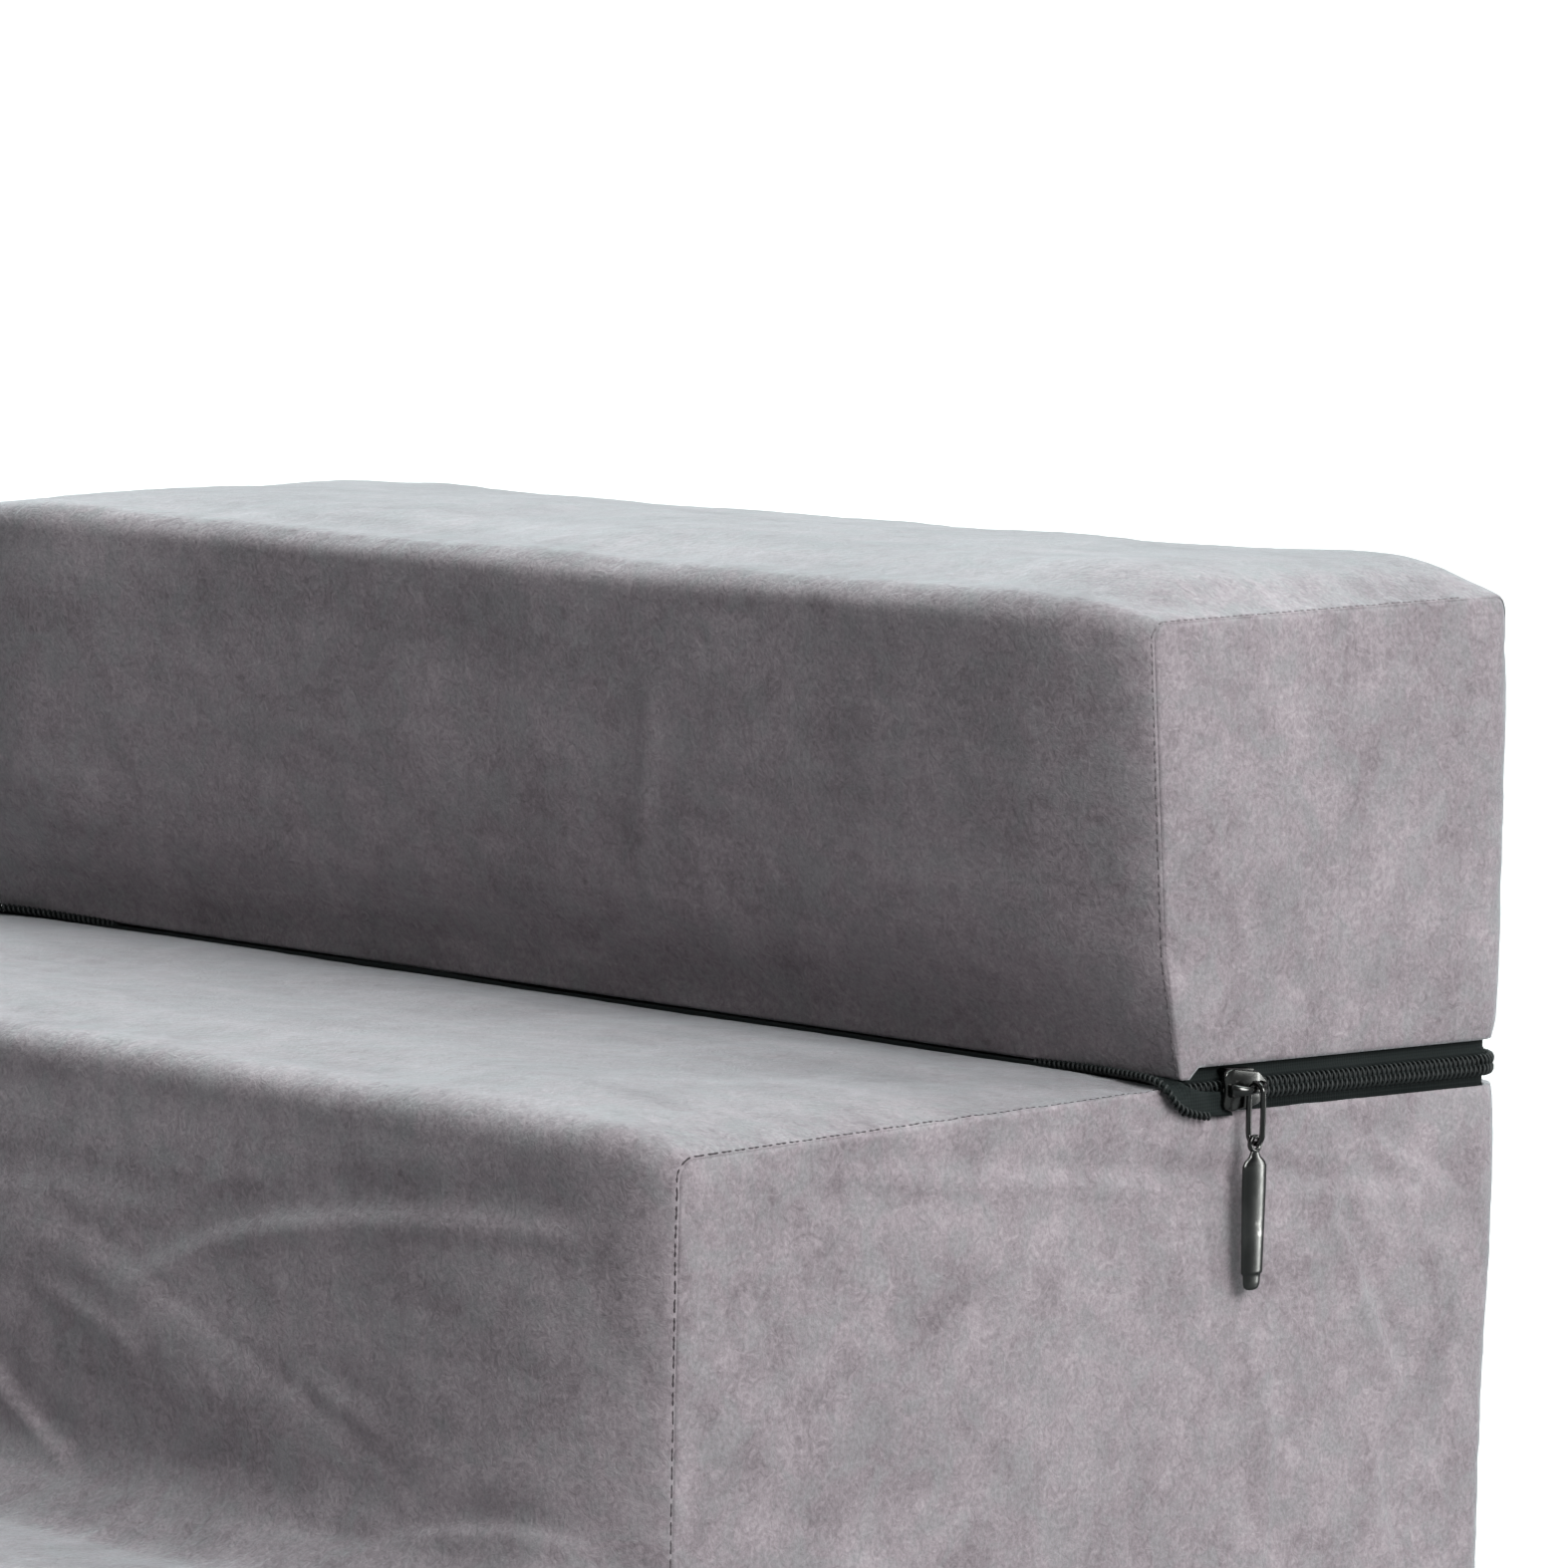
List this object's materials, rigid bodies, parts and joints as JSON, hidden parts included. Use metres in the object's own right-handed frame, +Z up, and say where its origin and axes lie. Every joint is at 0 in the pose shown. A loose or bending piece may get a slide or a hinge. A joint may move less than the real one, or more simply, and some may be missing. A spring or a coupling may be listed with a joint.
{
  "type": "dog ramp",
  "caption": "Stepped foam dog ramp in a zip-off grey plush cover; the top block is zipped on and tips forward when the zip is open.",
  "frame": {"origin": "on the floor, mid-width and mid-depth of the padded cover", "axes": "+Z up, +X across the width towards the side with the zip pull, +Y towards the high end; the steps face -Y"},
  "size_m": [0.3887, 0.3808, 0.3],
  "materials": {
    "cover_plush": "short brushed suede plush",
    "foam": "open-cell foam",
    "base_cloth": "woven non-slip cloth with raised dots",
    "zip_cloth": "woven black tape",
    "zip_coil": "black nylon coil",
    "pull_metal": "dark plated zinc alloy, worn at the edges"
  },
  "bodies": {
    "base": {"base_foam_lower": "foam", "base_foam_upper": "foam", "base_front_run": "cover_plush", "base_side_panel_right": "cover_plush", "base_side_panel_left": "cover_plush", "base_back_panel": "cover_plush", "base_bottom_panel": "base_cloth", "hinge_bead": "zip_cloth", "zip_tape_lower": "zip_cloth", "zip_coil_lower": "zip_coil", "zip_end_flap_right": "zip_cloth", "zip_end_flap_left": "zip_cloth"},
    "top_block": {"top_foam": "foam", "top_wrap_panel": "cover_plush", "top_side_panel_right": "cover_plush", "top_side_panel_left": "cover_plush", "top_back_panel": "cover_plush", "zip_tape_upper": "zip_cloth", "zip_coil_upper": "zip_coil"},
    "zip_slider": {"slider_body": "pull_metal"},
    "zip_link": {"pull_link": "pull_metal"},
    "zip_tab": {"pull_tab": "pull_metal"}
  },
  "joints": [
    {"name": "top_block_tip", "type": "hinge", "parent": "base", "child": "top_block", "pos_m": [0, 0.09, 0.2008], "axis": [1, 0, 0], "range_deg": [0, 60]},
    {"name": "slider_run", "type": "slide", "parent": "base", "child": "zip_slider", "axis": [0, 1, 0], "range_m": [0, 0.065]},
    {"name": "link_swing", "type": "hinge", "parent": "zip_slider", "child": "zip_link", "pos_m": [0.1954, 0.107, 0.1985], "axis": [0, -1, 0], "range_deg": [-4, 120]},
    {"name": "tab_swing", "type": "hinge", "parent": "zip_link", "child": "zip_tab", "pos_m": [0.1954, 0.107, 0.18765], "axis": [1, 0, 0], "range_deg": [-60, 60]}
  ]
}
